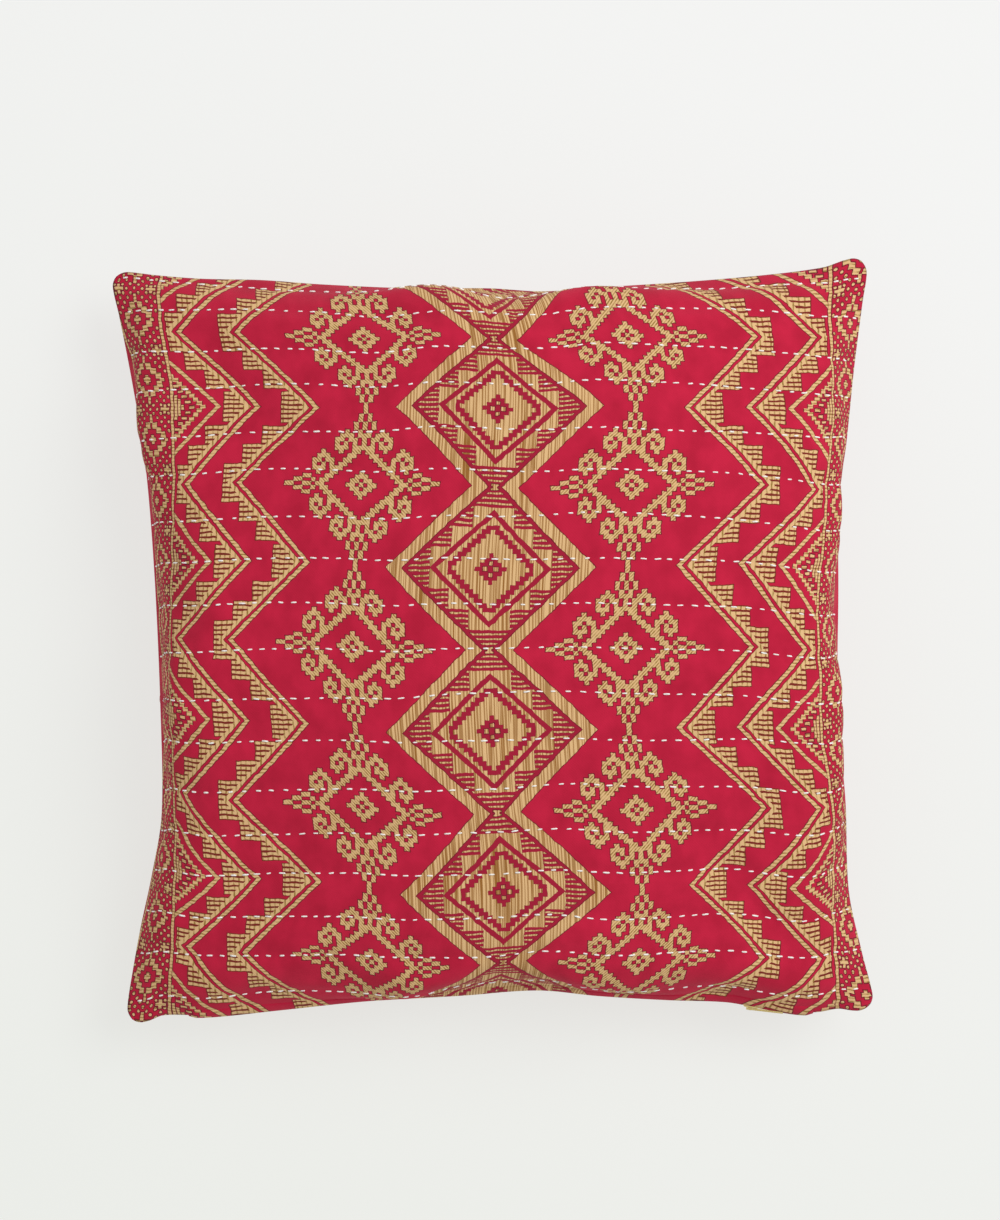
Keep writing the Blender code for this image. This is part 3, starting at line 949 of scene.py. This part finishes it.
def quilt(panel, lines, random):
    cells, side = pillow["meshCells"], pillow["side"]
    x = np.linspace(-side / 2, side / 2, cells + 1)[:, None]
    y = np.linspace(-side / 2, side / 2, cells + 1)[None, :]
    sunk = np.zeros((cells + 1, cells + 1))
    for line in lines:
        off = y - line[:, None]
        pinch = 1 - kantha["pinch"]
        pinch = pinch + kantha["pinch"] * np.cos(2 * math.pi * x / kantha["stitchPitch"])
        sunk += kantha["troughDepth"] * np.exp(-(off / kantha["troughWidth"]) ** 2) * pinch
    fromRim = np.minimum(side / 2 - abs(x), side / 2 - abs(y))
    raised = sum(height * lumps(random, *counts) for height, counts in pillow["lumps"])
    byRim = np.exp(-fromRim / pillow["puckerReach"])
    raised += pillow["puckerHeight"] * byRim * lumps(random, *pillow["puckers"])
    raised = (raised - sunk) * (1 - np.exp(-fromRim / pillow["rimStill"]))
    return panel + raised[..., None] * normalsOf(panel)


def restOnBack(panel):
    # the filling's weight presses the middle of the back flat
    height, blend = panel[..., 2], pillow["flatBlend"]
    panel[..., 2] = (height + np.sqrt(height ** 2 + blend ** 2)) / 2
    return panel


def printPlaces(isBack):
    # each mesh point's place in the map "cloth"
    cells, side = pillow["meshCells"], pillow["side"]
    x = np.linspace(-side / 2, side / 2, cells + 1)[:, None] + np.zeros((1, cells + 1))
    y = x.T.copy()
    if not isBack:
        x = x - refine(np.array(printLayout["askewAcross"]), cells) / 1000
        y = y - refine(np.array(printLayout["askewUp"]), cells) / 1000
    wide, high = (size * printLayout["mapCells"] for size in printLayout["cell"])
    return np.stack([0.5 + x / wide + 2 * isBack, 0.5 + (y - printLayout["waistAt"]) / high], 2)


def finishPiece(name, shape, material):
    mesh = bpy.data.meshes.new(name)
    shape.to_mesh(mesh)
    shape.free()
    mesh.shade_smooth()
    mesh.materials.append(material)
    piece = bpy.data.objects.new(name, mesh)
    scene.collection.objects.link(piece)
    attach(piece, "root")
    print(name, "made,", len(mesh.polygons), "faces")
    return piece


def makePillow(panels, material):
    cells = pillow["meshCells"]
    cover = bmesh.new()
    cloth = cover.loops.layers.uv.new("cloth")
    for isBack, panel in enumerate(panels):
        printed = printPlaces(isBack)
        made = bmesh.ops.create_grid(cover, x_segments=cells, y_segments=cells, size=1.0)["verts"]
        faces = {face for vert in made for face in vert.link_faces}
        points = {vert: tuple(round((part + 1) / 2 * cells) for part in vert.co[:2])
                  for vert in made}
        for face in faces:
            for loop in face.loops:
                loop[cloth].uv = printed[points[loop.vert]]
        for vert, point in points.items():
            vert.co = panel[point]
        if isBack:
            bmesh.ops.reverse_faces(cover, faces=list(faces))
    bmesh.ops.remove_doubles(cover, verts=cover.verts[:], dist=1e-6)
    piece = finishPiece("pillow_cover", cover, material)
    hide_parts("pillow")


def onPanel(values, x, y):
    # value at a place on the flat cloth, between the mesh's points
    cells, side = pillow["meshCells"], pillow["side"]
    across, up = ((part / side + 0.5) * cells for part in (x, y))
    i, j = (min(max(int(part), 0), cells - 1) for part in (across, up))
    s, t = across - i, up - j
    return ((1 - s) * (1 - t) * values[i, j] + s * (1 - t) * values[i + 1, j]
            + (1 - s) * t * values[i, j + 1] + s * t * values[i + 1, j + 1])


def makeStitches(name, panel, lines, isBack, material):
    random = np.random.default_rng(kantha["seed"] + 1 + isBack)
    normals = normalsOf(panel) * (-1 if isBack else 1)
    half = pillow["side"] / 2
    columns = np.linspace(-half, half, pillow["meshCells"] + 1)
    sewn = bpy.data.meshes.new("row of stitches")
    every = bmesh.new()
    for line in lines:
        row = bmesh.new()
        x = -half + kantha["fromRim"]
        x += kantha["stitchPitch"] * random.uniform(*kantha["firstAt"])
        while x < half - kantha["fromRim"]:
            length = kantha["stitchLength"] * random.uniform(*kantha["lengthRange"])
            length *= kantha["backLength"] if isBack else 1
            step = kantha["stitchPitch"] * random.uniform(*kantha["pitchRange"])
            tilt = random.uniform(-kantha["tilt"], kantha["tilt"]) * length
            y = np.interp((x - length / 2, x + length / 2), columns, line)
            start = onPanel(panel, x - length / 2, y[0] - tilt)
            end = onPanel(panel, x + length / 2, y[1] + tilt)
            normal = onPanel(normals, x, y.mean())
            along = (end - start) / np.linalg.norm(end - start)
            beside = np.cross(normal, along)
            beside /= np.linalg.norm(beside)
            width = kantha["threadWidth"] * random.uniform(*kantha["widthRange"])
            middle = (start + end) / 2 + normal * width * kantha["proud"]
            axes = np.stack([beside * width, np.cross(along, beside) * width, along * length], 1)
            place = Matrix.Translation(middle) @ Matrix(axes).to_4x4()
            made = bmesh.ops.create_uvsphere(
                row, u_segments=6, v_segments=4, radius=0.5)["verts"]
            for vert in made:
                # blunter ends than a ball's
                vert.co.xy *= 1.0 + 0.25 * (abs(vert.co.z) > 0.2)
                vert.co.z *= 1.1 if abs(vert.co.z) < 0.45 else 1.0
            bmesh.ops.transform(row, matrix=place, verts=made)
            for vert in made:
                # none goes below what the pillow lies on
                vert.co.z = max(vert.co.z, 0)
            x += step
        row.to_mesh(sewn)
        row.free()
        every.from_mesh(sewn)
    return finishPiece(name, every, material)


def makeLap(panels, material):
    # the front panel's edge is folded over the zip and stands a little proud of the seam
    cells, side = pillow["meshCells"], pillow["side"]
    columns = [i for i, place in enumerate(panels[0][:, 0]) if lap["from"] <= place[0] <= lap["to"]]
    printed = printPlaces(False)
    front, back = normalsOf(panels[0]), -normalsOf(panels[1])
    rimNormal = front[:, 0] + back[:, 0]
    rimNormal /= np.linalg.norm(rimNormal, axis=1, keepdims=True)
    turns = lap["turns"]
    strip = bmesh.new()
    cloth = strip.loops.layers.uv.new("cloth")
    made = bmesh.ops.create_grid(
        strip, x_segments=len(columns) - 1, y_segments=len(turns) - 1, size=1.0)["verts"]
    uvs = {}
    for vert in made:
        i = columns[round((vert.co.x + 1) / 2 * (len(columns) - 1))]
        k = round((vert.co.y + 1) / 2 * (len(turns) - 1))
        isBack, line, proud = turns[k]
        ended = min(1, (i - columns[0]) / 2, (columns[-1] - i) / 2)
        normal = rimNormal[i] if line == 0 else (back if isBack else front)[i, line]
        proud *= lap["proudAtEnds"] + (1 - lap["proudAtEnds"]) * ended
        vert.co = panels[isBack][i, line] + normal * proud
        over = line * side / cells / (printLayout["cell"][1] * printLayout["mapCells"])
        uvs[vert] = printed[i, line] if not isBack else printed[i, 0] - (0, over)
    for face in strip.faces:
        for loop in face.loops:
            loop[cloth].uv = uvs[loop.vert]
    bmesh.ops.reverse_faces(strip, faces=strip.faces[:])
    bmesh.ops.solidify(strip, geom=strip.faces[:], thickness=lap["thickness"])
    bmesh.ops.recalc_face_normals(strip, faces=strip.faces[:])
    return finishPiece("zip_lap", strip, material)


# Floor and light: a pale floor that glows, painted light that gives most of its brightness and
# keeps its shadows faint, under a broad soft light and a smaller one from the upper right

studio = {
    "floorSide": 8.0,
    "floorColours": ("#707270", "#747473"),
    # the floor's emission is painted light: the floor glows though it is no lamp
    "floorSurface": {"Roughness": 0.8, "Specular IOR Level": 0.1, "Emission Strength": 0.78},
    # painted light: the floor's glow is darker at the lower left and brighter at the upper right,
    # as if lit from there
    "paintedGlowColours": ("#F1F3EE", "#F7F7F6"),  # from the lower left to the upper right
    "paintedGlowLean": (0.4, 0.9, 0),
    "paintedGlowReach": 0.35,
    "keySize": 1.5, "keyPlace": (1.3, 0.85, 2.15), "keyPower": 41.0,
    "skyStrength": 0.53,
}


def makeStudio():
    material, tree, shader = newMaterial("floor with painted glow", studio["floorSurface"])
    place = addNode(tree, "ShaderNodeTexCoord", {}, {})
    cloud = addNode(tree, "ShaderNodeTexNoise", {}, {
        "Vector": place.outputs["Object"], "Scale": 1.5, "Detail": 1.0})
    colour = mixColours(tree, cloud.outputs["Fac"], *studio["floorColours"])
    tree.links.new(colour, shader.inputs["Base Color"])
    # painted light: the floor's glow, brighter towards the upper right
    lean = addNode(tree, "ShaderNodeVectorMath", {"operation": "DOT_PRODUCT"}, {
        0: place.outputs["Object"], 1: studio["paintedGlowLean"]})
    leanShare = addNode(tree, "ShaderNodeMapRange", {}, {
        "Value": lean.outputs["Value"], "From Min": -studio["paintedGlowReach"],
        "From Max": studio["paintedGlowReach"]})
    glow = mixColours(tree, leanShare.outputs[0], *studio["paintedGlowColours"])
    tree.links.new(glow, shader.inputs["Emission Color"])
    floor = bmesh.new()
    bmesh.ops.create_grid(floor, x_segments=1, y_segments=1, size=studio["floorSide"] / 2)
    mesh = bpy.data.meshes.new("floor")
    floor.to_mesh(mesh)
    floor.free()
    mesh.materials.append(material)
    sweep = bpy.data.objects.new("floor", mesh)
    scene.collection.objects.link(sweep)
    light = bpy.data.lights.new("key", "AREA")
    light.shape, light.size = "SQUARE", studio["keySize"]
    light.energy = studio["keyPower"]
    key = bpy.data.objects.new("key", light)
    key.location = studio["keyPlace"]
    key.rotation_mode = "QUATERNION"
    key.rotation_quaternion = (-Vector(studio["keyPlace"])).to_track_quat("-Z", "Y")
    scene.collection.objects.link(key)
    world = bpy.data.worlds.new("studio")
    world.use_nodes = True
    world.node_tree.nodes["Background"].inputs["Color"].default_value = toLinear("#FFFFFF")
    world.node_tree.nodes["Background"].inputs["Strength"].default_value = studio["skyStrength"]
    scene.world = world
    scene.view_settings.view_transform = "Standard"


makeCamera(pillow["seamHeight"])
makeStudio()
lines = rowLines()
random = np.random.default_rng(pillow["seed"])
panels = [quilt(onOutline(panel), lines, random) for panel in blowUp()]
panels = [restOnBack(panel) for panel in panels]
lowest = min(panel[..., 2].min() for panel in panels)
for panel in panels:
    panel[..., 2] -= lowest
cotton, floss, brass = makePrintedCotton(), makeFloss(), makeBrass()
makePillow(panels, cotton)
makeLap(panels, cotton)
for isBack, name in enumerate(("kantha_stitches_front", "kantha_stitches_back")):
    makeStitches(name, panels[isBack], lines, isBack, floss)
for node in ("zip_slider", "zip_pull"):
    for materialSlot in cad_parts[node].material_slots:
        materialSlot.material = brass
